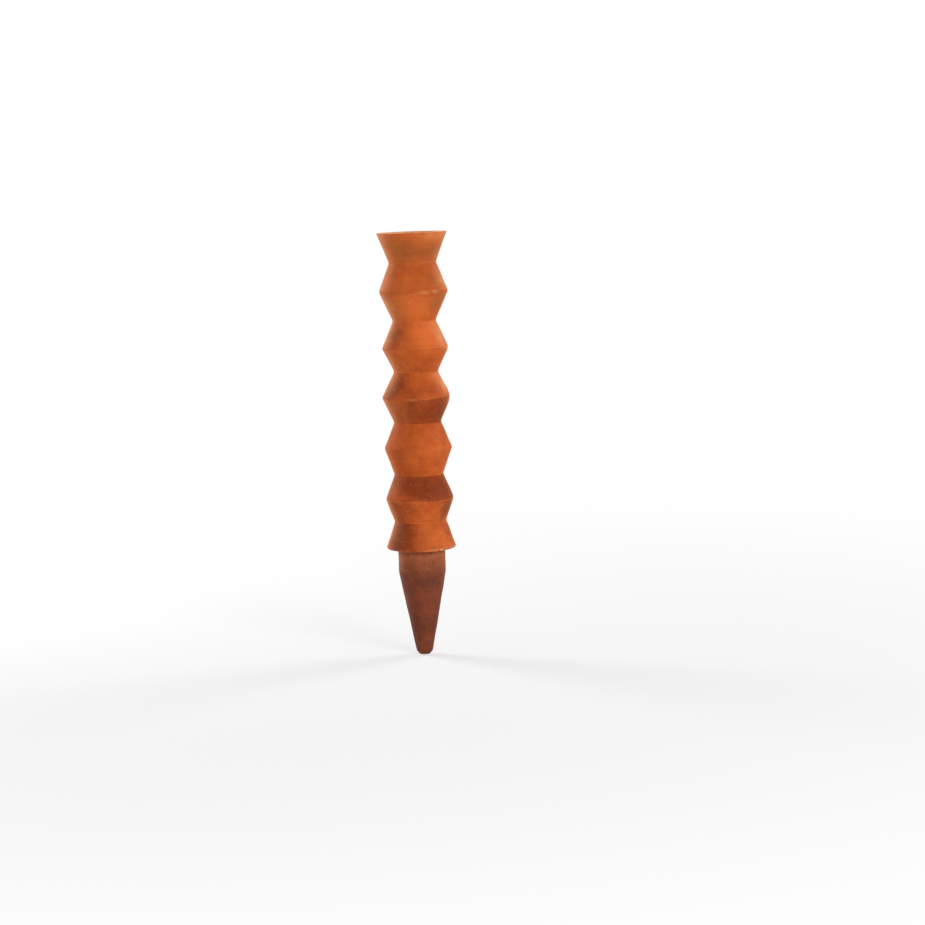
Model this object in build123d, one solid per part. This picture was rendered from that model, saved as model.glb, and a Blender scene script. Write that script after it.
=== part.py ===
from build123d import *
import os

# Terracotta self watering spike, in millimetres.
# A clay column, bored for water and filled through its open mouth, stands on a porous clay spike in the soil.
# Six hourglass sections are turned from thick clay tube and luted with slip, belt to belt, into the column.
# The column lifts off the spike's tenon, where a rubber washer seals its socket.
# Z is the common axis. The origin is the centre of the skirt's underside, at the soil line.

# Sections of the column, from the mouth down to the soil
# Each belt, and each neck, differs a little from the next, because they are turned by eye.
# The rim and the skirt flare wider than the belts. The skirt is measured to its sharp corner, before the bevel.
section_names = ["rim_section", "second_section", "third_section", "fourth_section", "fifth_section", "skirt_section"]
mouth_to_neck = [17.3, 16.5, 13.5, 14.2, 15.0, 13.0]
neck_to_foot = [16.2, 15.5, 14.5, 14.8, 14.0, 15.5]
neck_diameter = 26.5
neck_differences = [0.2, -2.3, -2.2, -0.2, 1.3, 2.9]
belt_diameter = 38.4
belt_differences = [0.6, -1.1, 0.4, -0.1, 0.2]
rim_flare = 1.5
skirt_flare = 1.7

# Bore, lip and edges of the column
bore_diameter = 17.0
lip_width = 4.0
funnel_depth = 14.0
skirt_bevel = 0.8
slip_bed = 0.6
slip_setback = 0.5

# Socket of the column on the spike
socket_depth = 10.0
socket_clearance = 0.3
washer_thickness = 1.5
washer_clearance = 0.2

# Spike
stem_diameter = 27.0
stem_length = 14.0
tenon_step = 0.4
spike_length = 62.0
shell = 3.5
tip_diameter = 9.0
tip_bevel = 2.0
tip_flat = 5.0
tip_wall = 8.0
well_tip_diameter = 4.0

# Heights and radii that follow from the driving sizes
section_count = len(section_names)
belt_radii = [(belt_diameter + difference) / 2 for difference in belt_differences]
neck_radii = [(neck_diameter + difference) / 2 for difference in neck_differences]
rim_radius = (belt_diameter + rim_flare) / 2
skirt_radius = (belt_diameter + skirt_flare) / 2
lip_radii = [rim_radius, *belt_radii, skirt_radius]
foot_heights = [sum(mouth_to_neck[i + 1:]) + sum(neck_to_foot[i + 1:]) for i in range(section_count)]
bore_radius = bore_diameter / 2
stem_radius = stem_diameter / 2
tenon_radius = stem_radius - tenon_step
tenon_height = socket_depth - washer_thickness
socket_radius = stem_radius + socket_clearance
well_radius = stem_radius - shell


def turned(corners):
    """A solid turned about Z from the corners of a closed outline, each a radius and a height."""
    with BuildPart() as solid:
        with BuildSketch(Plane.XZ):
            with BuildLine():
                Polyline(*corners, close=True)
            make_face()
        revolve(axis=Axis.Z)
    return solid.part


def bevelled(before, corner, after, bevel):
    """The two points that cut a corner off between its neighbours, each one bevel away from it."""
    corner = Vector(*corner)
    return [tuple(corner + (Vector(*near) - corner).normalized() * bevel)[:2] for near in (before, after)]


def hourglass(index):
    """One section: two straight cones that meet at a neck, bored through, with flat lips."""
    is_rim = index == 0
    is_skirt = index == section_count - 1
    neck_height = foot_heights[index] + neck_to_foot[index]
    mouth_height = neck_height + mouth_to_neck[index] - (0 if is_rim else slip_bed / 2)
    foot_height = foot_heights[index] + (0 if is_skirt else slip_bed / 2)
    foot = (lip_radii[index + 1], foot_height)
    neck = (neck_radii[index], neck_height)
    mouth = (lip_radii[index], mouth_height)

    if is_rim:
        funnel_mouth = (mouth[0] - lip_width, mouth_height)
        funnel_end = (bore_radius, mouth_height - funnel_depth)
        top = [mouth, funnel_mouth, funnel_end]
    else:
        top = [mouth, (bore_radius, mouth_height)]

    if is_skirt:
        socket_mouth = (socket_radius, foot_height)
        bottom = [
            (bore_radius, socket_depth),
            (socket_radius, socket_depth),
            socket_mouth,
            *bevelled(socket_mouth, foot, neck, skirt_bevel),
        ]
    else:
        bottom = [(bore_radius, foot_height), foot]

    return turned([neck, *top, *bottom])


def flat_ring(inner_radius, outer_radius, low, thickness):
    """A flat ring, square in section."""
    high = low + thickness
    return turned([(inner_radius, low), (outer_radius, low), (outer_radius, high), (inner_radius, high)])


def slip_joint(index):
    """The bed of slip in a belt, wiped flush outside and kept back from the bore."""
    low = foot_heights[index] - slip_bed / 2
    return flat_ring(bore_radius + slip_setback, belt_radii[index], low, slip_bed)


def sealing_washer():
    """The flat rubber ring between the rim of the spike's tenon and the roof of the column's socket."""
    inner_radius = well_radius + washer_clearance
    outer_radius = tenon_radius - washer_clearance
    return flat_ring(inner_radius, outer_radius, tenon_height, washer_thickness)


def soil_spike():
    """The porous stake: a straight stem tapering to a blunt tip, with an open tenon and a blind water well."""
    well_floor = tip_wall - spike_length
    outside = [
        (tip_flat / 2, -spike_length),
        (tip_diameter / 2, tip_bevel - spike_length),
        (stem_radius, -stem_length),
        (stem_radius, 0),
        (tenon_radius, 0),
        (tenon_radius, tenon_height),
    ]
    well = [
        (well_radius, tenon_height),
        (well_radius, -stem_length),
        (well_tip_diameter / 2, well_floor),
        (0, well_floor),
    ]
    return turned([(0, -spike_length), *outside, *well])


def pieces():
    """Every piece of the assembly, by name."""
    made = {name: hourglass(i) for i, name in enumerate(section_names)}
    made |= {f"slip_joint_{i + 1}": slip_joint(i) for i in range(len(belt_radii))}
    made["sealing_washer"] = sealing_washer()
    made["soil_spike"] = soil_spike()
    return made


def main():
    os.makedirs("parts", exist_ok=True)
    for name, solid in pieces().items():
        export_step(solid, f"parts/{name}.step")
        print(name, round(solid.volume), "mm3")


if __name__ == "__main__":
    main()
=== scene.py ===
import math

import bpy
import numpy as np
from mathutils import Euler, Matrix, Vector


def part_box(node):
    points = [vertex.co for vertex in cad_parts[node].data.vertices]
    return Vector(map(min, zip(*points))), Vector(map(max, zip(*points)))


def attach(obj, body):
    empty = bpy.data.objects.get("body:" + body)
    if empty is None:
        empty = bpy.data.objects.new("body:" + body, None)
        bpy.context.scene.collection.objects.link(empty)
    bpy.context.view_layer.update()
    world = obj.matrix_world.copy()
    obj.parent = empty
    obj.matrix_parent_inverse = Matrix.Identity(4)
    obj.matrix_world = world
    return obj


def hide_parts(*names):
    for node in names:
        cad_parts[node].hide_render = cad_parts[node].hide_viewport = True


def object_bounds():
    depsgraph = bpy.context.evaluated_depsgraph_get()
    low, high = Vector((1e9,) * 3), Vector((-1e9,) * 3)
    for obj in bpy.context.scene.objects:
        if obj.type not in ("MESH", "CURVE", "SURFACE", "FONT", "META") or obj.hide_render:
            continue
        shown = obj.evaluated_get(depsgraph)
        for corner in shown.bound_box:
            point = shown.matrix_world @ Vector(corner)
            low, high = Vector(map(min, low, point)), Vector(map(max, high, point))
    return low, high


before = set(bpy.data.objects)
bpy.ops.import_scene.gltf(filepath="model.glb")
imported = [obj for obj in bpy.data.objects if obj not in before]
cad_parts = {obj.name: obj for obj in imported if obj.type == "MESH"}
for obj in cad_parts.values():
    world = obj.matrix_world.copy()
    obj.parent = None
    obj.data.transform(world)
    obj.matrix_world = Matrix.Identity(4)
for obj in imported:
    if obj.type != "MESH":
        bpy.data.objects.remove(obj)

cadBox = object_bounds()
mm = 0.001
black, white = "#000000", "#ffffff"
print("frame loaded,", len(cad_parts), "solids")


def linearColour(hexColour):
    # sRGB hex to the linear values that the shaders take
    parts = [int(hexColour[i:i + 2], 16) / 255 for i in (1, 3, 5)]
    return [p / 12.92 if p <= 0.04045 else ((p + 0.055) / 1.055) ** 2.4 for p in parts] + [1.0]


def addNode(tree, kind, settings=None, links=None):
    # settings go to a property of the node, or else to the socket of that name or number
    node = tree.nodes.new("ShaderNode" + kind)
    for name, value in (settings or {}).items():
        if name == "stops":
            ramp = node.color_ramp
            while len(ramp.elements) < len(value):
                ramp.elements.new(0.5)
            for element, (position, colour) in zip(ramp.elements, value):
                element.position = position
                element.color = linearColour(colour)
        elif isinstance(name, str) and hasattr(node, name):
            setattr(node, name, value)
        else:
            node.inputs[name].default_value = value
    for name, source in (links or {}).items():
        tree.links.new(source, node.inputs[name])
    return node


def newMaterial(name):
    material = bpy.data.materials.new(name)
    material.use_nodes = True
    material.node_tree.nodes.clear()
    return material, material.node_tree


# Terracotta, turned by hand and fired once without glaze.
# To the eye: a dry, dusty orange with brown kiln clouds, faint lathe streaks, grit, and paler worn edges.
# A mask is the ramp that fades a pattern in or out, and its brightest stop is how much shows at most.
dryTerracotta = {
    "name": "terracottaTurnedUnglazed",
    "ground": [(0.04, "#793315"), (0.22, "#8d3a16"), (0.42, "#ae4d1e"), (0.58, "#c05a24"),
               (0.80, "#d1672d")],
    "cloudSize": 17 * mm, "dampTo": -18 * mm, "dryFrom": -4 * mm, "dryGain": 0.0,
    "smoke": "#8f5a2c", "smokeSize": 30 * mm, "smokeMask": [(0.46, black), (0.68, "#5a5a5a")],
    "streakHeight": 1.3 * mm, "streakLength": 30 * mm, "streakMost": 0.13,
    "dragHeight": 0.6 * mm, "dragLength": 11 * mm, "dragMask": [(0.50, black), (0.74, white)],
    "dragFrom": 40 * mm, "dragFull": 25 * mm, "dragLeast": 0.15, "dragMost": 0.10,
    "bloom": "#dc9663", "bloomSize": 9 * mm, "bloomMask": [(0.50, black), (0.74, "#383838")],
    "gritSize": 1.3 * mm, "gritMask": [(0.08, white), (0.24, black)], "gritShare": 0.95,
    "paleGrit": "#cb7845", "darkGrit": "#823d1b", "darkFiner": 1.17,
    "wornEdge": "#dd8f5a", "freshChip": "#d17a45", "paleSpot": "#e8ad80",
    "soil": "#3b1d0f", "soilSize": 1.1 * mm, "soilMask": [(0.86, black), (0.98, "#b8b8b8")],
    "soilTop": 7 * mm, "soilMost": 0.42,
    "roughest": 0.92, "smoothest": 0.78, "roughFrom": 0.3, "roughTo": 0.7,
    "grainSize": 0.45 * mm, "grainDepth": 0.05 * mm, "grainStrength": 0.8,
    "sheen": 0.28, "sheenTint": "#ffe0b4", "sheenRough": 0.36, "specular": 0.12, "ior": 1.5,
}

# Slip, the same clay stirred thin and wiped into a seam before firing.
# To the eye: a fine, even line along each belt, close to the colour of the turned clay.
firedSlip = {
    **dryTerracotta,
    "name": "slipWipedFired",
    "ground": [(0.22, "#8b3c18"), (0.42, "#ac4e20"), (0.58, "#bd5a26"), (0.80, "#cd6a34")],
    "grainDepth": 0.03 * mm,
}

# Terracotta, turned and fired in the same way, that draws up damp in use.
# To the eye: the same clay, dry under the skirt with a pale salt line, and lower down a dark red-brown with
# dirt in its pores.
dampTerracotta = {
    **dryTerracotta,
    "name": "terracottaDampFromSoil",
    "ground": [(0.22, "#54220f"), (0.42, "#6a2d14"), (0.58, "#7c391b"), (0.72, "#8e4825"),
               (0.95, "#b25c2b")],
    "dryGain": 0.42,
    "smoke": "#431d10", "smokeMask": [(0.46, black), (0.68, "#a0a0a0")],
    "dragMost": 0.05,
    "bloom": "#a87654", "bloomMask": [(0.50, black), (0.74, "#2c2c2c")],
    "paleGrit": "#96603c", "darkGrit": "#2d140b",
    "wornEdge": "#8e5030", "freshChip": "#854527", "paleSpot": "#a56a48",
    "soil": "#35190e", "soilTop": 40 * mm, "soilSize": 2.2 * mm, "soilMost": 0.31,
    "roughest": 0.85, "smoothest": 0.6,
    "sheen": 0.0, "specular": 0.3,
}


def bakedClay(look):
    material, tree = newMaterial(look["name"])
    place = addNode(tree, "TexCoord").outputs["Object"]
    height = addNode(tree, "SeparateXYZ", links={0: place}).outputs["Z"]
    marks = {mark: addNode(tree, "Attribute", {"attribute_name": mark}).outputs["Fac"]
             for mark in ("tone", "smoke", "dust", "wear", "chip", "spot")}

    # the kiln's clouds: orange where the fire was clean, browner where it smoked; the tone marks added to
    # them are partly painted light and shade
    clouds = addNode(tree, "TexNoise", {"Scale": 1 / look["cloudSize"], "Detail": 5.0, "Roughness": 0.7},
                     {"Vector": place}).outputs["Fac"]
    toneAndShadeAdded = addNode(tree, "Math", {"operation": "ADD"}, {0: clouds, 1: marks["tone"]}).outputs[0]
    drier = addNode(tree, "MapRange", {"From Min": look["dampTo"], "From Max": look["dryFrom"],
                                       "To Min": 0.0, "To Max": look["dryGain"]},
                    {"Value": height}).outputs["Result"]
    dried = addNode(tree, "Math", {"operation": "ADD"}, {0: toneAndShadeAdded, 1: drier}).outputs[0]
    ground = addNode(tree, "ValToRGB", {"stops": look["ground"]}, {"Fac": dried}).outputs["Color"]
    smoke = addNode(tree, "TexNoise", {"Scale": 1 / look["smokeSize"], "Detail": 3.0},
                    {"Vector": place}).outputs["Fac"]
    smokeMask = addNode(tree, "ValToRGB", {"stops": look["smokeMask"]}, {"Fac": smoke}).outputs["Color"]
    smokeShare = addNode(tree, "Math", {"operation": "ADD"}, {0: smokeMask, 1: marks["smoke"]}).outputs[0]
    smoked = addNode(tree, "Mix", {"data_type": "RGBA", 7: linearColour(look["smoke"])},
                     {0: smokeShare, 6: ground}).outputs[2]

    # streaks that the tool left as the clay turned
    wide, tall = 1 / look["streakLength"], 1 / look["streakHeight"]
    turning = addNode(tree, "Mapping", {"Scale": (wide, wide, tall)}, {"Vector": place}).outputs["Vector"]
    streaks = addNode(tree, "TexNoise", {"Scale": 1.0, "Detail": 3.0, "Roughness": 0.6},
                      {"Vector": turning}).outputs["Fac"]
    colour = addNode(tree, "Mix", {"data_type": "RGBA", "blend_type": "OVERLAY", 0: look["streakMost"]},
                     {6: smoked, 7: streaks}).outputs[2]

    # fine pale lines where grit dragged under the tool, most of them on the skirt
    wide, tall = 1 / look["dragLength"], 1 / look["dragHeight"]
    dragging = addNode(tree, "Mapping", {"Scale": (wide, wide, tall)}, {"Vector": place}).outputs["Vector"]
    drags = addNode(tree, "TexNoise", {"Scale": 1.0, "Detail": 2.0}, {"Vector": dragging}).outputs["Fac"]
    dragMask = addNode(tree, "ValToRGB", {"stops": look["dragMask"]}, {"Fac": drags}).outputs["Color"]
    lowDown = addNode(tree, "MapRange", {"From Min": look["dragFrom"], "From Max": look["dragFull"],
                                         "To Min": look["dragLeast"], "To Max": 1.0},
                      {"Value": height}).outputs["Result"]
    dragLow = addNode(tree, "Math", {"operation": "MULTIPLY"}, {0: dragMask, 1: lowDown}).outputs[0]
    dragShare = addNode(tree, "Math", {"operation": "MULTIPLY", 1: look["dragMost"]},
                        {0: dragLow}).outputs[0]

    # a thin pale bloom of salts and dust, with the dust marks added to it; at the left and right edges of the
    # front those marks are a painted highlight of rim light
    bloom = addNode(tree, "TexNoise", {"Scale": 1 / look["bloomSize"], "Detail": 6.0, "Roughness": 0.7},
                    {"Vector": place}).outputs["Fac"]
    bloomMask = addNode(tree, "ValToRGB", {"stops": look["bloomMask"]}, {"Fac": bloom}).outputs["Color"]
    bloomAndRimLightShare = addNode(tree, "Math", {"operation": "ADD"}, {0: bloomMask, 1: marks["dust"]}).outputs[0]

    # what lies over the clay, from the lowest up: how much of it, and its colour
    layers = [(dragShare, look["wornEdge"]), (bloomAndRimLightShare, look["bloom"])]

    # pale and dark grit, a grain in some of the cells
    for finer, grit in ((1.0, look["paleGrit"]), (look["darkFiner"], look["darkGrit"])):
        cells = addNode(tree, "TexVoronoi", {"Scale": finer / look["gritSize"]}, {"Vector": place}).outputs
        spots = addNode(tree, "ValToRGB", {"stops": look["gritMask"]}, {"Fac": cells["Distance"]})
        which = addNode(tree, "SeparateColor", links={0: cells["Color"]}).outputs["Red"]
        chosen = addNode(tree, "Math", {"operation": "GREATER_THAN", 1: look["gritShare"]}, {0: which})
        grains = addNode(tree, "Math", {"operation": "MULTIPLY"},
                         {0: spots.outputs["Color"], 1: chosen.outputs[0]})
        layers.append((grains.outputs[0], grit))

    # worn edges, chips and pale spots lie where the mesh marks them; the pale lime inside the mouth is partly
    # a painted highlight
    for mark, tint in (("wear", "wornEdge"), ("chip", "freshChip"), ("spot", "paleSpot")):
        layers.append((marks[mark], look[tint]))

    # dark splashes on the clay that is nearest to the ground
    nearSoil = addNode(tree, "MapRange", {"From Min": look["soilTop"], "From Max": 0.0,
                                          "To Min": 0.0, "To Max": look["soilMost"]},
                       {"Value": height}).outputs["Result"]
    splash = addNode(tree, "TexNoise", {"Scale": 1 / look["soilSize"], "Detail": 3.0, "Roughness": 0.65},
                     {"Vector": place}).outputs["Fac"]
    splashed = addNode(tree, "Math", {"operation": "ADD"}, {0: splash, 1: nearSoil}).outputs[0]
    soilMask = addNode(tree, "ValToRGB", {"stops": look["soilMask"]}, {"Fac": splashed}).outputs["Color"]
    layers.append((soilMask, look["soil"]))

    for share, tint in layers:
        colour = addNode(tree, "Mix", {"data_type": "RGBA", 7: linearColour(tint)},
                         {0: share, 6: colour}).outputs[2]

    # sandy grain, drawn coarser than the real 0.1 mm so that it shows
    grain = addNode(tree, "TexNoise", {"Scale": 1 / look["grainSize"], "Detail": 3.0, "Roughness": 0.7},
                    {"Vector": place}).outputs["Fac"]
    bump = addNode(tree, "Bump", {"Strength": look["grainStrength"], "Distance": look["grainDepth"]},
                   {"Height": grain}).outputs["Normal"]
    rough = addNode(tree, "MapRange", {"From Min": look["roughFrom"], "From Max": look["roughTo"],
                                       "To Min": look["smoothest"], "To Max": look["roughest"]},
                    {"Value": clouds}).outputs["Result"]
    shader = addNode(tree, "BsdfPrincipled",
                     {"IOR": look["ior"], "Specular IOR Level": look["specular"],
                      "Sheen Weight": look["sheen"], "Sheen Roughness": look["sheenRough"],
                      "Sheen Tint": linearColour(look["sheenTint"])},
                     {"Base Color": colour, "Roughness": rough, "Normal": bump})
    addNode(tree, "OutputMaterial", links={"Surface": shader.outputs[0]})
    return material


# Rubber, cut from calendered sheet.
# To the eye: a dull black with a grey bloom and a fine cloth grain.
blackRubber = {
    "name": "rubberCutFromSheet",
    "ground": [(0.35, "#141413"), (0.55, "#1e1e1c"), (0.75, "#2c2b28")],
    "bloomSize": 4 * mm, "grainSize": 0.5 * mm, "grainDepth": 0.02 * mm, "grainStrength": 0.6,
    "roughest": 0.8, "smoothest": 0.6, "roughFrom": 0.3, "roughTo": 0.7, "ior": 1.52,
}


def sheetRubber(look):
    material, tree = newMaterial(look["name"])
    place = addNode(tree, "TexCoord").outputs["Object"]
    bloom = addNode(tree, "TexNoise", {"Scale": 1 / look["bloomSize"], "Detail": 4.0},
                    {"Vector": place}).outputs["Fac"]
    ground = addNode(tree, "ValToRGB", {"stops": look["ground"]}, {"Fac": bloom}).outputs["Color"]
    grain = addNode(tree, "TexNoise", {"Scale": 1 / look["grainSize"], "Detail": 2.0},
                    {"Vector": place}).outputs["Fac"]
    bump = addNode(tree, "Bump", {"Strength": look["grainStrength"], "Distance": look["grainDepth"]},
                   {"Height": grain}).outputs["Normal"]
    rough = addNode(tree, "MapRange", {"From Min": look["roughFrom"], "From Max": look["roughTo"],
                                       "To Min": look["smoothest"], "To Max": look["roughest"]},
                    {"Value": bloom}).outputs["Result"]
    shader = addNode(tree, "BsdfPrincipled", {"IOR": look["ior"]},
                     {"Base Color": ground, "Roughness": rough, "Normal": bump})
    addNode(tree, "OutputMaterial", links={"Surface": shader.outputs[0]})
    return material


finishes = {look["name"]: bakedClay(look) for look in (dryTerracotta, firedSlip, dampTerracotta)}
finishes[blackRubber["name"]] = sheetRubber(blackRubber)
print("materials:", ", ".join(finishes))

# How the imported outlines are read, rounded and divided, in metres and radians
outlining = {
    "seamWidth": 2e-6, "sameSpot": 1e-6, "digits": 6, "leastBend": 0.02,
    "leastTurn": math.radians(12), "sideShare": 0.46, "arcStep": math.radians(14), "fewestSteps": 3,
    "outwardRise": 0.2,
}


def turnedOutline(node):
    # a turned solid keeps its outline on the half plane y = 0, where its seam is
    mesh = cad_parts[node].data
    onSeam = {}
    for vertex in mesh.vertices:
        x, y, z = vertex.co
        if abs(y) < outlining["seamWidth"] and x > -outlining["sameSpot"]:
            onSeam[vertex.index] = (round(x, outlining["digits"]), round(z, outlining["digits"]))
    near = {spot: set() for spot in onSeam.values()}
    for edge in mesh.edges:
        a, b = (onSeam.get(i) for i in edge.vertices)
        if a and b and a != b:
            near[a].add(b)
            near[b].add(a)
    loose = [spot for spot in near if len(near[spot]) < 2]
    for a in loose:  # a flat lip has no edge on the seam, so its two rims are joined here
        near[a] |= {b for b in loose if b != a and abs(a[1] - b[1]) < outlining["sameSpot"]}
    ends = sorted(spot for spot in near if len(near[spot]) < 2)
    walk = [min(ends, key=lambda s: s[1]) if ends else min(near)]
    while True:
        onward = [spot for spot in near[walk[-1]] if spot not in walk]
        if not onward:
            break
        walk.append(onward[0])
    r, z = np.array(walk).T
    if np.sum(r * np.roll(z, -1) - np.roll(r, -1) * z) < 0:  # the outer side runs upwards
        walk.reverse()
    return walk, not ends


def straightened(walk, closed):
    # drops the points that lie on a straight line between their neighbours
    kept = []
    for i, spot in enumerate(walk):
        if not closed and i in (0, len(walk) - 1):
            kept.append(spot)
            continue
        a = Vector(spot) - Vector(walk[i - 1])
        b = Vector(walk[(i + 1) % len(walk)]) - Vector(spot)
        if abs(a.normalized().cross(b.normalized())) > outlining["leastBend"]:
            kept.append(spot)
    return kept


def rounded(walk, closed, edgeRound, hollowRound):
    # corners turn into arcs; returns points with a mark of 1 on every edge that stands out
    made = []
    for i, spot in enumerate(walk):
        here = Vector(spot)
        if not closed and i in (0, len(walk) - 1):
            made.append((here, 0.0))
            continue
        back, ahead = Vector(walk[i - 1]) - here, Vector(walk[(i + 1) % len(walk)]) - here
        turn = math.pi - back.angle(ahead)
        standsOut = (-back).cross(ahead) > 0
        if turn < outlining["leastTurn"]:
            made.append((here, 0.0))
            continue
        radius = edgeRound(spot) if standsOut else hollowRound
        furthest = outlining["sideShare"] * min(back.length, ahead.length)
        reach = min(radius * math.tan(turn / 2), furthest)
        radius = reach / math.tan(turn / 2)
        inward = (back.normalized() + ahead.normalized()).normalized()
        middle = here + inward * radius / math.cos(turn / 2)
        start = here + back.normalized() * reach - middle
        end = here + ahead.normalized() * reach - middle
        count = max(outlining["fewestSteps"], math.ceil(turn / outlining["arcStep"]))
        for k in range(count + 1):
            spoke = start.lerp(end, k / count).normalized() * radius
            made.append((middle + spoke, 1.0 if standsOut else 0.0))
    return made


def divided(made, closed, outerStep, innerStep):
    # long runs are divided: finely where they face out, coarsely in the bore
    spots, edges = [], []
    for i, (here, mark) in enumerate(made):
        spots.append(here)
        edges.append(mark)
        if i == len(made) - 1 and not closed:
            break
        there = made[(i + 1) % len(made)][0]
        run = there - here
        facesOut = run.y > outlining["outwardRise"] * run.length
        count = math.ceil(run.length / (outerStep if facesOut else innerStep))
        for k in range(1, count):
            spots.append(here.lerp(there, k / count))
            edges.append(0.0)
    return np.array([tuple(s) for s in spots]), np.array(edges)


def nearEdges(spots, edges, width):
    # 1 on the edges that stand out, falling away within the width
    marked = spots[edges > 0.5]
    gap = np.linalg.norm(spots[:, None] - marked[None], axis=2).min(1)
    return np.exp(-(gap / width) ** 2)


# How the clay departs from a true cone, all round the column. Depths are at right angles to the axis.
# Each set of waves has a flatness, where 1 lays them all level, as lathe rings.
# Whatever is patchy, here and below, has a mean, a swing, a least and a most.
handTurning = {
    "ovalDepth": 0.10 * mm, "ovalTwist": 30 * mm, "threeShare": 0.5, "threeTwist": 21 * mm,
    "swells": {"seed": 11, "count": 18, "size": 15 * mm, "flatness": 0.0}, "swellDepth": 0.055 * mm,
    "ripples": {"seed": 12, "count": 26, "size": 4.5 * mm, "flatness": 0.35}, "rippleDepth": 0.014 * mm,
    "rings": {"seed": 13, "count": 14, "size": 1.7 * mm, "flatness": 0.97}, "ringDepth": 0.010 * mm,
    "calm": {"seed": 14, "count": 10, "size": 22 * mm, "flatness": 0.0}, "ringPatchy": (0.7, 0.6, 0.1, 2),
    "skirtRings": 2.8, "skirtTop": 28 * mm,
    "meanRadius": 16.5 * mm, "sizeSpread": (0.6, 1.7), "nearAxis": 3 * mm,
}


def waveSet(seed, count, size, flatness):
    # waves of about one size, that close on themselves round the column
    dice = np.random.default_rng(seed)
    lean = dice.uniform(0, math.pi, count)
    pitch = 2 * math.pi / (size * dice.uniform(*handTurning["sizeSpread"], count))
    turns = np.round(pitch * np.cos(lean) * handTurning["meanRadius"] * (1 - flatness))
    rise = pitch * np.maximum(np.abs(np.sin(lean)), flatness) * np.sign(np.sin(lean) + 1e-9)
    return turns, rise, dice.uniform(0, 2 * math.pi, count)


def waveSum(waves, angle, height):
    total = np.zeros_like(angle)
    for turns, rise, phase in zip(*waves):
        total += np.cos(turns * angle + rise * height + phase)
    return total * math.sqrt(2 / len(waves[0]))


def patchy(waves, angle, height, mean, swing, least, most):
    # an amount that comes and goes over the clay
    return np.clip(mean + swing * waveSum(waves, angle, height), least, most)


def offset(angle, around):
    # how far round from a mark, in radians either way
    return np.mod(angle - around + math.pi, 2 * math.pi) - math.pi


def softPatch(angle, height, radius, degrees, level, wide, tall):
    # 1 in the middle of a mark, fading out over its half width and half height
    across = offset(angle, math.radians(degrees)) * radius / (wide * mm)
    return np.exp(-across ** 2 - ((height - level * mm) / (tall * mm)) ** 2)


swells, ripples, rings, calm = (waveSet(**handTurning[key]) for key in ("swells", "ripples", "rings", "calm"))

# Knocks on the clay: those that the front shows, then dice for the rest.
# Each is degrees to the right of the front, then millimetres: height, half width, half height, depth.
chipping = {
    "front": [(-8.5, 86.5, 1.5, 0.5, 0.10), (55, 114.4, 1.5, 0.45, 0.12), (-49, 114.3, 5.0, 0.3, 0.03),
              (36, 146.6, 0.7, 0.6, 0.08), (25, 146.5, 6.0, 0.25, 0.08), (82, 114.5, 6.0, 1.2, 0.3),
              (20, 0.6, 2.6, 0.7, 0.3), (48, 1.2, 2.0, 1.1, 0.4), (62, 0.8, 1.4, 1.2, 0.4),
              (34, 0.9, 1.4, 0.8, 0.3), (56, 4.6, 0.6, 0.5, 0.2), (44, 6.2, 0.5, 0.4, 0.18),
              (64, 7.5, 0.6, 0.5, 0.2), (52, 9.4, 0.5, 0.5, 0.16), (38, 3.6, 0.6, 0.4, 0.2)],
    "seed": 21, "perEdge": 6, "offEdge": 0.25,
    "width": (0.4, 1.5), "height": (0.2, 0.5), "depth": (0.03, 0.12),
    "pits": 60, "pitSize": (0.22, 0.55), "pitFlatness": (0.6, 1.1), "pitDepth": (0.04, 0.14),
    "ragged": 0.3, "raggedFiner": 3, "steepness": 0.6, "paleReach": 1.2, "palest": 0.8, "paleDepth": 0.4 * mm,
}

# Where a belt is rubbed flat, and where one wanders up from level: as for the knocks
rubbedFlat = [(82, 86.6, 7.0, 2.6, 0.95)]
wandering = [(54, 86.5, 11.0, 5.0, 0.9), (50, 146.5, 9.0, 5.0, 0.35)]

# The mouth was cut by hand; the heights are in millimetres
rimCut = {"from": 166, "to": 180, "dip": 0.35 * mm, "degrees": -145, "uneven": 0.05 * mm}

# Pale lime spots, as degrees to the right of the front, height and half size
limeSpots = {
    "spots": [(-47.8, 137.5, 0.6), (-9.7, 140.7, 0.45), (-47, 92, 0.55), (43, 26.1, 0.55), (43.5, 9.8, 0.5),
              (36.7, 146.7, 0.6), (58, 3.0, 0.6), (51, 5.5, 0.4), (40, 2.2, 0.45), (47, 3.6, 0.4),
              (62, 6.2, 0.45), (66, 1.8, 0.5), (55, 8.4, 0.35), (150, 121, 0.5), (-140, 60, 0.55),
              (110, 158, 0.45)],
    "most": 0.42, "inside": 1.4, "fall": 1.2,
}

# Lime that poured water left inside the mouth, most of it at the lip. It is also painted light: it lightens
# the back wall of the mouth, which lies in shade, as if light fell on it.
limeScaleAndMouthLight = {"from": 170 * mm, "to": 178.5 * mm, "wall": 3 * mm, "most": 0.75,
             "patchy": (0.85, 0.25, 0.3, 1)}

# Salts that dry out of the damp clay just below the skirt
saltLine = {"height": -3.0 * mm, "halfHeight": 1.6 * mm, "most": 0.55, "patchy": (0.6, 0.5, 0, 1)}
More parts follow.
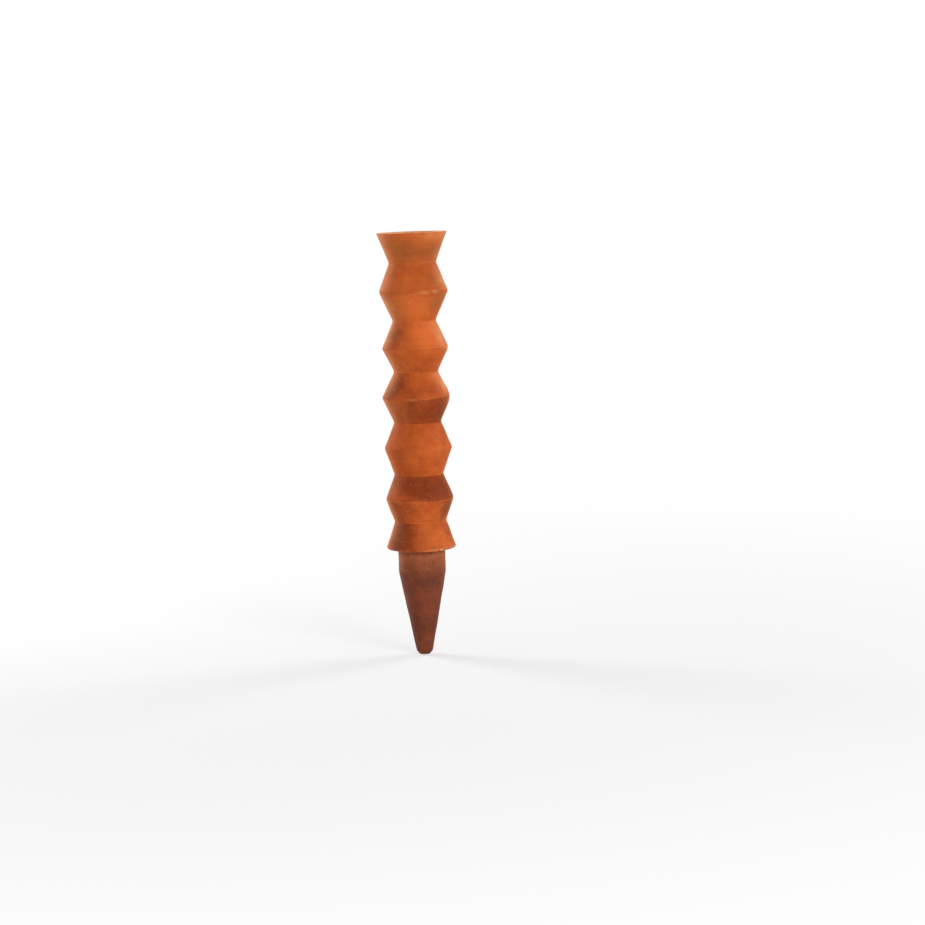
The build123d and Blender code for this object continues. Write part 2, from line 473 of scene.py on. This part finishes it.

# The kiln's tone, with painted light and shade laid on as tone: degrees, height, half width and half height,
# then how much lighter or darker
# Painted shade and shadow: the dark marks on the left of the cones and the skirt, on the right below the
# third belt, on the fifth section and on the right of the skirt. Painted light: the light marks on the left
# of the upper cones.
kilnToneAndPaintedShade = [(-58, 178, 10, 3.5, 0.26), (50, 178, 12, 3.5, 0.32), (-27, 167.5, 5, 2.6, 0.02),
             (11, 167, 11, 5, -0.12), (-48, 170, 7, 8, 0.26), (42, 170, 8, 8, 0.13), (-10, 165, 7, 3, 0.08),
             (-10, 153, 12, 7, 0.05), (34, 158, 7, 6, -0.09), (-36, 151, 9, 7, 0.10), (-32, 139, 12, 9, 0.27),
             (8, 138, 16, 8, 0.24), (8, 127, 15, 7, 0.22), (24, 122, 14, 8, 0.14), (-46, 123, 6, 11, -0.36),
             (6, 106, 13, 9, -0.10), (-40, 107, 9, 9, 0.16), (44, 112, 8, 4, 0.16),
             (24, 116.5, 12, 2.8, 0.10), (-2, 91, 20, 5, -0.05), (-46, 95, 6, 11, -0.42),
             (44, 95, 8, 7, -0.18), (5, 98, 12, 4, 0.08), (40, 88.5, 12, 4, -0.04),
             (38, 80, 16, 11, -0.38), (-10, 80, 10, 10, -0.06),
             (8, 36, 28, 10, -0.38), (-40, 22, 12, 9, -0.20), (-14, 18, 8, 4, 0.20), (28, 19, 12, 8, 0.06),
             (66, 24, 6, 6, -0.40), (62, 36, 8, 9, -0.20), (-45, 7, 8, 12, -0.52), (34, 8, 12, 8, 0.06),
             (66, 10, 5, 6, -0.30)]

# Where the fire smoked the clay to a dull brown: as above, then how much
kilnSmoke = [(6, 170, 22, 6.5, 0.42), (50, 141, 6, 7, 0.55), (46, 153, 7, 7, 0.30), (-52, 137, 6, 7, 0.25),
             (-30, 80, 9, 6, 0.20), (130, 170, 16, 7, 0.35), (95, 20, 12, 8, 0.30)]

# Where dust has settled: as above. Most of these sit at the left and right edges of the front, where they are
# a painted highlight of rim light; the rest is dust.
dustAndPaintedRimLight = [(70, 152, 5, 9, 0.42), (69, 121, 6, 9, 0.56), (73, 94, 6, 8, 0.54), (-82, 152, 8, 11, 0.40),
                (-84, 120, 8, 10, 0.60), (-80, 95, 7, 8, 0.38), (-87, 138, 10, 7, 0.42),
                (-82, 108, 8, 6, 0.38), (-85, 80, 9, 8, 0.44), (-80, 34, 8, 6, 0.18), (-88, 24, 9, 7, 0.20),
                (-82, 7, 8, 7, 0.15), (-78, 172, 8, 7, 0.18), (66, 170, 5, 6, 0.10), (48, 179, 10, 3, 0.35),
                (-60, 179, 8, 3, 0.26)]
dustAndRimLightUneven = 0.16

# The marks behind come from dice: their half sizes, then how many to a cone and the range of how much.
# The least cone, in millimetres, leaves out the beds of slip.
behind = {
    "seed": 31, "from": 98, "to": 262, "width": (5, 13), "height": (4, 9), "leastCone": 2,
    "tones": (3, -0.30, 0.22), "smoke": (1, 0.0, 0.45), "dust": (2, 0.0, 0.34),
}

# Worn stretches of edge: degrees, half spread in degrees, height and how worn.
# The belts between them are worn a little.
wornEdges = {
    "stretches": [(26, 19, 146.5, 0.72), (48, 38, 0.3, 0.8), (70, 20, 114.5, 0.4), (-8, 14, 86.5, 0.28),
                  (-150, 40, 28.5, 0.5)],
    "halfHeight": 2 * mm, "patchy": (0.75, 0.4, 0.2, 1), "beltPatchy": (0.02, 0.07, 0, 0.18),
    "belowRim": 1 * mm,
}

# The sponge took the sharpness off every belt and neck before firing, more in some places than in others
sponging = {"reach": 0.9 * mm, "steps": 7, "patchy": (1, 0.3, 0.4, 1.6)}

sectionNames = ["rim_section", "second_section", "third_section", "fourth_section", "fifth_section",
                "skirt_section"]
edgeHeights = [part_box(name)[1].z for name in sectionNames] + [0.0]


def knockList():
    dice = np.random.default_rng(chipping["seed"])
    made = [(math.radians(turn), *(size * mm for size in sizes)) for turn, *sizes in chipping["front"]]
    for height in edgeHeights:
        for _ in range(chipping["perEdge"]):
            made.append((dice.uniform(-math.pi, math.pi), height + dice.normal(0, chipping["offEdge"]) * mm,
                         dice.uniform(*chipping["width"]) * mm, dice.uniform(*chipping["height"]) * mm,
                         dice.uniform(*chipping["depth"]) * mm))
    for _ in range(chipping["pits"]):
        size = dice.uniform(*chipping["pitSize"]) * mm
        made.append((dice.uniform(-math.pi, math.pi), dice.uniform(0, edgeHeights[0]), size,
                     size * dice.uniform(*chipping["pitFlatness"]), dice.uniform(*chipping["pitDepth"]) * mm))
    return made


knocks = knockList()
print("knocks on the clay:", len(knocks))


def sideLine():
    # the column's side from the skirt to the rim, through the foot, neck and mouth of each section
    line = []
    for name in reversed(sectionNames):
        corners = straightened(*turnedOutline(name))
        halfway = (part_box(name)[0].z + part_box(name)[1].z) / 2
        foot = max((spot for spot in corners if spot[1] < halfway), key=lambda spot: spot[0])
        mouth = max((spot for spot in corners if spot[1] > halfway), key=lambda spot: spot[0])
        ordered = corners[corners.index(foot):] + corners[:corners.index(foot)]
        line += ordered[:ordered.index(mouth) + 1]
    line = np.array(line)
    first, last = 2 * line[0] - line[1], 2 * line[-1] - line[-2]  # straight on past the skirt and the rim
    return np.vstack([first, line, last])


columnSide = sideLine()
coneEnds = columnSide[1:-1, 1]


def sideRadius(height):
    return np.interp(height, columnSide[:, 1], columnSide[:, 0])


def coneOf(height):
    # which cone of the column a height lies on, counted up from the skirt
    return np.searchsorted(coneEnds, height)


def marksBehind():
    dice = np.random.default_rng(behind["seed"])
    for low, high in zip(coneEnds[:-1] / mm, coneEnds[1:] / mm):
        if high - low < behind["leastCone"]:
            continue
        for marks, kind in ((kilnToneAndPaintedShade, "tones"), (kilnSmoke, "smoke"), (dustAndPaintedRimLight, "dust")):
            count, least, most = behind[kind]
            for _ in range(count):
                marks.append((dice.uniform(behind["from"], behind["to"]), dice.uniform(low, high),
                              dice.uniform(*behind["width"]), dice.uniform(*behind["height"]),
                              dice.uniform(least, most)))


marksBehind()
print("marks of the firing:", len(kilnToneAndPaintedShade), "tones,", len(kilnSmoke), "smoke,", len(dustAndPaintedRimLight), "dust")


def sponged(angle, height):
    # how far the softened side stands out from the sharp one
    reach = sponging["reach"] * patchy(calm, angle, height, *sponging["patchy"])
    shares = np.linspace(-1, 1, sponging["steps"])
    soft = sum(sideRadius(height + share * reach) for share in shares) / sponging["steps"]
    return soft - sideRadius(height)


def clayRelief(angle, height, radius):
    # returns how far the clay stands out, and how chipped it is
    oval = np.cos(2 * angle + height / handTurning["ovalTwist"])
    threeSided = np.cos(3 * angle - height / handTurning["threeTwist"])
    depth = handTurning["ovalDepth"] * (oval + handTurning["threeShare"] * threeSided)
    depth += handTurning["swellDepth"] * waveSum(swells, angle, height)
    depth += handTurning["rippleDepth"] * waveSum(ripples, angle, height)
    ringed = np.where(height < handTurning["skirtTop"], handTurning["skirtRings"], 1.0)
    depth += (handTurning["ringDepth"] * ringed * waveSum(rings, angle, height)
              * patchy(calm, angle, height, *handTurning["ringPatchy"]))
    for *place, deep in rubbedFlat:
        depth -= deep * mm * softPatch(angle, height, radius, *place)

    chip = np.zeros_like(depth)
    finer = chipping["raggedFiner"]
    ragged = chipping["ragged"] * waveSum(ripples, finer * angle, finer * height)
    outside = np.clip(1 - (sideRadius(height) - radius) / mm, 0, 1)  # none from a millimetre in
    for around, level, wide, tall, deep in knocks:
        across = offset(angle, around) * radius
        near = 1 + ragged - (across / wide) ** 2 - ((height - level) / tall) ** 2
        hit = np.clip(near, 0, 1) ** chipping["steepness"] * outside
        depth -= deep * hit
        pale = min(chipping["palest"], deep / chipping["paleDepth"])
        chip = np.maximum(chip, np.clip(hit * chipping["paleReach"], 0, 1) * pale)
    return depth, chip


def rimDrop(angle, height):
    # the mouth dips towards the back left, and its lip is a little uneven
    near = np.clip((height / mm - rimCut["from"]) / (rimCut["to"] - rimCut["from"]), 0, 1) ** 2
    dip = rimCut["dip"] * (0.5 + 0.5 * np.cos(offset(angle, math.radians(rimCut["degrees"]))))
    return near * (dip + rimCut["uneven"] * (1 + 0.5 * waveSum(ripples, angle, np.zeros_like(angle))))


def beltRise(angle, height, radius):
    # a belt turned and luted by hand isn't quite level
    rise = np.zeros_like(angle)
    for *place, amount in wandering:
        rise += amount * mm * softPatch(angle, height, radius, *place)
    return rise


def clayMarks(angle, height, radius):
    # the tone and painted shade, the smoke, and the dust and painted rim light each keep to the cone that
    # they are on
    sums, cone = [], coneOf(height)
    for marks in (kilnToneAndPaintedShade, kilnSmoke, dustAndPaintedRimLight):
        total = np.zeros_like(angle)
        for degrees, level, wide, tall, amount in marks:
            onCone = cone == coneOf(level * mm)
            total += amount * softPatch(angle, height, radius, degrees, level, wide, tall) * onCone
        sums.append(total)
    tone, smoke, dust = sums
    dust = dust * (1 + dustAndRimLightUneven * waveSum(ripples, angle, height))

    # the salt line, the scale in the mouth and the lime spots are one pale mark; the scale in the mouth is
    # partly a painted highlight on the mouth's back wall
    band = np.exp(-((height - saltLine["height"]) / saltLine["halfHeight"]) ** 2)
    spot = saltLine["most"] * band * patchy(ripples, angle, height, *saltLine["patchy"])
    within = sideRadius(height) - radius > limeScaleAndMouthLight["wall"]
    mouthLimeAndLight = np.clip((height - limeScaleAndMouthLight["from"]) / (limeScaleAndMouthLight["to"] - limeScaleAndMouthLight["from"]), 0, 1) ** 2
    mouthLimeAndLight = limeScaleAndMouthLight["most"] * mouthLimeAndLight * within * patchy(ripples, angle, height, *limeScaleAndMouthLight["patchy"])
    spot = np.maximum(spot, mouthLimeAndLight)
    for degrees, level, half in limeSpots["spots"]:
        across = offset(angle, math.radians(degrees)) * radius
        away = np.hypot(across, height - level * mm) / (half * mm)
        pale = np.clip(limeSpots["inside"] - limeSpots["fall"] * away, 0, 1)
        spot = np.maximum(spot, limeSpots["most"] * pale)
    return tone, smoke, dust, spot


def edgeWear(angle, height):
    # patchy along the belts, and stronger on the worn stretches
    belowRim = height < edgeHeights[0] - wornEdges["belowRim"]
    worn = patchy(calm, angle, height, *wornEdges["beltPatchy"]) * belowRim
    for degrees, spread, level, amount in wornEdges["stretches"]:
        along = offset(angle, math.radians(degrees)) / math.radians(spread)
        inReach = np.exp(-along ** 4 - ((height - level * mm) / wornEdges["halfHeight"]) ** 2)
        worn = np.maximum(worn, amount * inReach * patchy(ripples, angle, height, *wornEdges["patchy"]))
    return worn


def lathe(name, spots, closed, around, relief, wear, side=None):
    # a dense turned mesh; rows follow the outline and columns go round
    # relief and wear are how much of each a row takes
    angle = np.linspace(-math.pi, math.pi, around, endpoint=False)[None].repeat(len(spots), 0)
    front = angle + math.pi / 2
    radius, height = spots[:, :1].repeat(around, 1), spots[:, 1:].repeat(around, 1)
    depth, chip = clayRelief(front, height, radius)
    if side:
        depth = depth + side(front, height)
    share = (relief * np.minimum(spots[:, 0] / handTurning["nearAxis"], 1))[:, None]
    radius = radius + depth * share  # outwards only, so that the lips stay flat on their slip
    level = height - rimDrop(front, height)
    height = level + beltRise(front, level, radius)  # the marks go by the level, so they rise with the belt
    points = np.stack([radius * np.cos(angle), radius * np.sin(angle), height], 2)
    # the tone carries painted light and shade, the dust a painted highlight at the front's left and right
    # edges, and the pale spots a painted highlight inside the mouth
    tone, smoke, dust, spot = clayMarks(front, level, radius)
    marks = {"wear": wear[:, None] * edgeWear(front, level), "chip": chip * share,
             "tone": tone, "smoke": smoke, "dust": dust * share, "spot": spot * share}

    rows, column = len(spots), np.arange(around)
    kept = np.ones(rows * around, bool)
    right = (column + 1) % around
    faces = []
    for row in range(rows if closed else rows - 1):
        here, above = row * around, (row + 1) % rows * around
        if not closed and row == 0:  # on the axis one point takes the place of a whole row
            kept[1:around] = False
            ring = [0 * column, above + right, above + column]
        elif not closed and row == rows - 2:
            kept[above + 1:] = False
            ring = [here + column, here + right, above + 0 * column]
        else:
            ring = [here + column, here + right, above + right, above + column]
        faces += np.stack(ring, 1).tolist()
    newIndex = np.cumsum(kept) - 1
    mesh = bpy.data.meshes.new(name)
    mesh.from_pydata(points.reshape(-1, 3)[kept].tolist(), [], [newIndex[face].tolist() for face in faces])
    for mark, values in marks.items():
        layer = mesh.attributes.new(mark, "FLOAT", "POINT")
        layer.data.foreach_set("value", values.ravel()[kept].astype(np.float32))
    mesh.shade_smooth()
    piece = bpy.data.objects.new(name, mesh)
    bpy.context.scene.collection.objects.link(piece)
    return piece


def dress(piece, node, body, finish):
    piece.data.materials.append(finishes[finish])
    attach(piece, body)
    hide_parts(node)


# The six sections: straight cones from belt to neck, their edges softened by the sponge
claySections = {
    "around": 216, "outerStep": 0.45 * mm, "innerStep": 2.2 * mm,
    "neckRound": 0.4 * mm, "rimRound": 0.15 * mm, "funnelRound": 0.8 * mm, "skirtRound": 0.9 * mm,
    "beltRound": 0.06 * mm, "cornerReach": 1 * mm,
    "outsideFrom": 12 * mm, "boreRelief": 0.25, "wearWidth": 0.5 * mm,
}


def sectionEdge(spot):
    reach = claySections["cornerReach"]
    if spot[1] > edgeHeights[0] - reach:
        return claySections["rimRound" if spot[0] > columnSide[-2, 0] - reach else "funnelRound"]
    return claySections["skirtRound" if spot[1] < reach else "beltRound"]


def outsideShare(spots):
    # full relief outside, a little in the bore
    return np.where(spots[:, 0] > claySections["outsideFrom"], 1.0, claySections["boreRelief"])


for name in sectionNames:
    walk, closed = turnedOutline(name)
    made = rounded(straightened(walk, closed), closed, sectionEdge, claySections["neckRound"])
    spots, edges = divided(made, closed, claySections["outerStep"], claySections["innerStep"])
    wear = nearEdges(spots, edges, claySections["wearWidth"])
    piece = lathe("clay_" + name, spots, closed, claySections["around"], outsideShare(spots), wear, sponged)
    dress(piece, name, "column", dryTerracotta["name"])
    print(name, "rows", len(spots))

# The beds of slip between them, wiped flush with the softened belts and worn alike all over
slipBeds = {
    "count": 5, "around": 216, "edgeRound": 0.04 * mm, "outerStep": 0.2 * mm, "innerStep": 3 * mm,
    "wear": math.exp(-1),
}

for index in range(slipBeds["count"]):
    name = f"slip_joint_{index + 1}"
    walk, closed = turnedOutline(name)
    made = rounded(walk, closed, lambda spot: slipBeds["edgeRound"], slipBeds["edgeRound"])
    spots, _ = divided(made, closed, slipBeds["outerStep"], slipBeds["innerStep"])
    wear = np.full(len(spots), slipBeds["wear"])
    piece = lathe("bed_" + name, spots, closed, slipBeds["around"], outsideShare(spots), wear, sponged)
    dress(piece, name, "column", firedSlip["name"])
print("slip beds made")

# The porous spike
spike = {
    "around": 180, "outerStep": 0.7 * mm, "innerStep": 2.5 * mm, "wearWidth": 0.8 * mm,
    "edgeRound": 0.5 * mm, "hollowRound": 0.6 * mm, "tipRound": 3.0 * mm, "tipTop": -55 * mm,
    "relief": 0.8, "reliefTop": -1 * mm,  # the tenon above it stays true
}


def spikeEdge(spot):
    return spike["tipRound" if spot[1] < spike["tipTop"] else "edgeRound"]


walk, closed = turnedOutline("soil_spike")
made = rounded(straightened(walk, closed), closed, spikeEdge, spike["hollowRound"])
spots, edges = divided(made, closed, spike["outerStep"], spike["innerStep"])
relief = np.where(spots[:, 1] < spike["reliefTop"], spike["relief"], 0.0)
wear = nearEdges(spots, edges, spike["wearWidth"])
piece = lathe("clay_soil_spike", spots, closed, spike["around"], relief, wear)
dress(piece, "soil_spike", "spike", dampTerracotta["name"])
print("spike made, rows", len(spots))

# The washer keeps its CAD shape
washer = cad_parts["sealing_washer"]
washer.data.materials.clear()
washer.data.materials.append(finishes[blackRubber["name"]])
print("washer dressed")

# The floor under the spike's tip, and a white surround
studio = {
    "floorSize": 40.0, "floor": "#dedede", "shownNear": 0.55, "fadeFrom": 0.15, "fadeTo": 0.7,
    "surround": 0.37,
}


def paleFloor():
    low = Vector(cadBox[0]).z
    half = studio["floorSize"] / 2
    corners = [(-half, -half, low), (half, -half, low), (half, half, low), (-half, half, low)]
    mesh = bpy.data.meshes.new("floor")
    mesh.from_pydata(corners, [], [(0, 1, 2, 3)])
    floor = bpy.data.objects.new("floor", mesh)
    bpy.context.scene.collection.objects.link(floor)
    # white matt paper: to the camera it glows, all of it far off and about half of it near the object,
    # where its shadow lies
    material, tree = newMaterial("paperWhiteMatt")
    rays = addNode(tree, "LightPath").outputs
    place = addNode(tree, "TexCoord").outputs["Object"]
    away = addNode(tree, "VectorMath", {"operation": "DISTANCE", 1: (0, 0, low)}, {0: place})
    fade = addNode(tree, "MapRange", {"interpolation_type": "SMOOTHSTEP", "From Min": studio["fadeFrom"],
                                      "From Max": studio["fadeTo"], "To Min": studio["shownNear"],
                                      "To Max": 1.0}, {"Value": away.outputs["Value"]})
    seen = addNode(tree, "Math", {"operation": "MULTIPLY"},
                   {0: rays["Is Camera Ray"], 1: fade.outputs["Result"]})
    paper = addNode(tree, "BsdfDiffuse", {"Color": linearColour(studio["floor"])})
    glow = addNode(tree, "Emission", {"Color": linearColour(white), "Strength": 1.0})
    mixed = addNode(tree, "MixShader", links={0: seen.outputs[0], 1: paper.outputs[0], 2: glow.outputs[0]})
    # a camera below the paper looks through it
    fromBelow = addNode(tree, "NewGeometry").outputs["Backfacing"]
    clear = addNode(tree, "BsdfTransparent")
    sided = addNode(tree, "MixShader", links={0: fromBelow, 1: mixed.outputs[0], 2: clear.outputs[0]})
    addNode(tree, "OutputMaterial", links={"Surface": sided.outputs[0]})
    mesh.materials.append(material)


def whiteSurround():
    # white where it is looked at, and a softer light on the object
    world = bpy.data.worlds.new("whiteSurround")
    world.use_nodes = True
    tree = world.node_tree
    tree.nodes.clear()
    rays = addNode(tree, "LightPath").outputs
    direct = addNode(tree, "Math", {"operation": "MAXIMUM"},
                     {0: rays["Is Camera Ray"], 1: rays["Is Glossy Ray"]})
    shown = addNode(tree, "Math", {"operation": "MAXIMUM"},
                    {0: direct.outputs[0], 1: rays["Is Transmission Ray"]})
    soft = addNode(tree, "Background", {"Color": linearColour(white), "Strength": studio["surround"]})
    plain = addNode(tree, "Background", {"Color": linearColour(white), "Strength": 1.0})
    mixed = addNode(tree, "MixShader", links={0: shown.outputs[0], 1: soft.outputs[0], 2: plain.outputs[0]})
    addNode(tree, "OutputWorld", links={"Surface": mixed.outputs[0]})
    bpy.context.scene.world = world


paleFloor()
whiteSurround()
print("floor and surround made")

# Softboxes: a key to the right of the camera, and two strips behind that pale the edges
lamps = {
    "key": {"place": (0.80, -1.35, 0.60), "size": 0.8, "power": 16.0},
    "stripLeft": {"place": (-0.69, 0.53, 0.38), "size": 0.5, "power": 8.0},
    "stripRight": {"place": (0.71, 0.44, 0.80), "size": 0.5, "power": 4.9},
}
lampAim = Vector((0, 0, 0.09))  # halfway up the column
for name, lamp in lamps.items():
    light = bpy.data.lights.new(name, "AREA")
    light.shape = "DISK"
    light.size = lamp["size"]
    light.energy = lamp["power"]
    holder = bpy.data.objects.new(name, light)
    holder.location = lamp["place"]
    holder.rotation_euler = (lampAim - Vector(lamp["place"])).to_track_quat("-Z", "Y").to_euler()
    bpy.context.scene.collection.objects.link(holder)
print("lamps:", ", ".join(lamps))

# The camera, as the photograph was taken; the lean is the camera's own roll
viewpoint = {
    "eye": (0, -1.5, 0.2336), "pitch": -7.051, "yaw": 0.949, "roll": -1.741,
    "focalPixels": 2652.2, "framePixels": 925, "sensor": 36.0,
}
camera = bpy.data.objects.new("camera", bpy.data.cameras.new("camera"))
camera.data.sensor_width = viewpoint["sensor"]
camera.data.lens = viewpoint["focalPixels"] * viewpoint["sensor"] / viewpoint["framePixels"]
tilt, swing, roll = (math.radians(viewpoint[key]) for key in ("pitch", "yaw", "roll"))
facing = Euler((math.pi / 2 + tilt, 0, -swing)).to_matrix() @ Matrix.Rotation(roll, 3, "Z")
camera.matrix_world = Matrix.Translation(viewpoint["eye"]) @ facing.to_4x4()
bpy.context.scene.collection.objects.link(camera)
bpy.context.scene.camera = camera
bpy.context.scene.view_settings.view_transform = "Standard"
print("camera set")
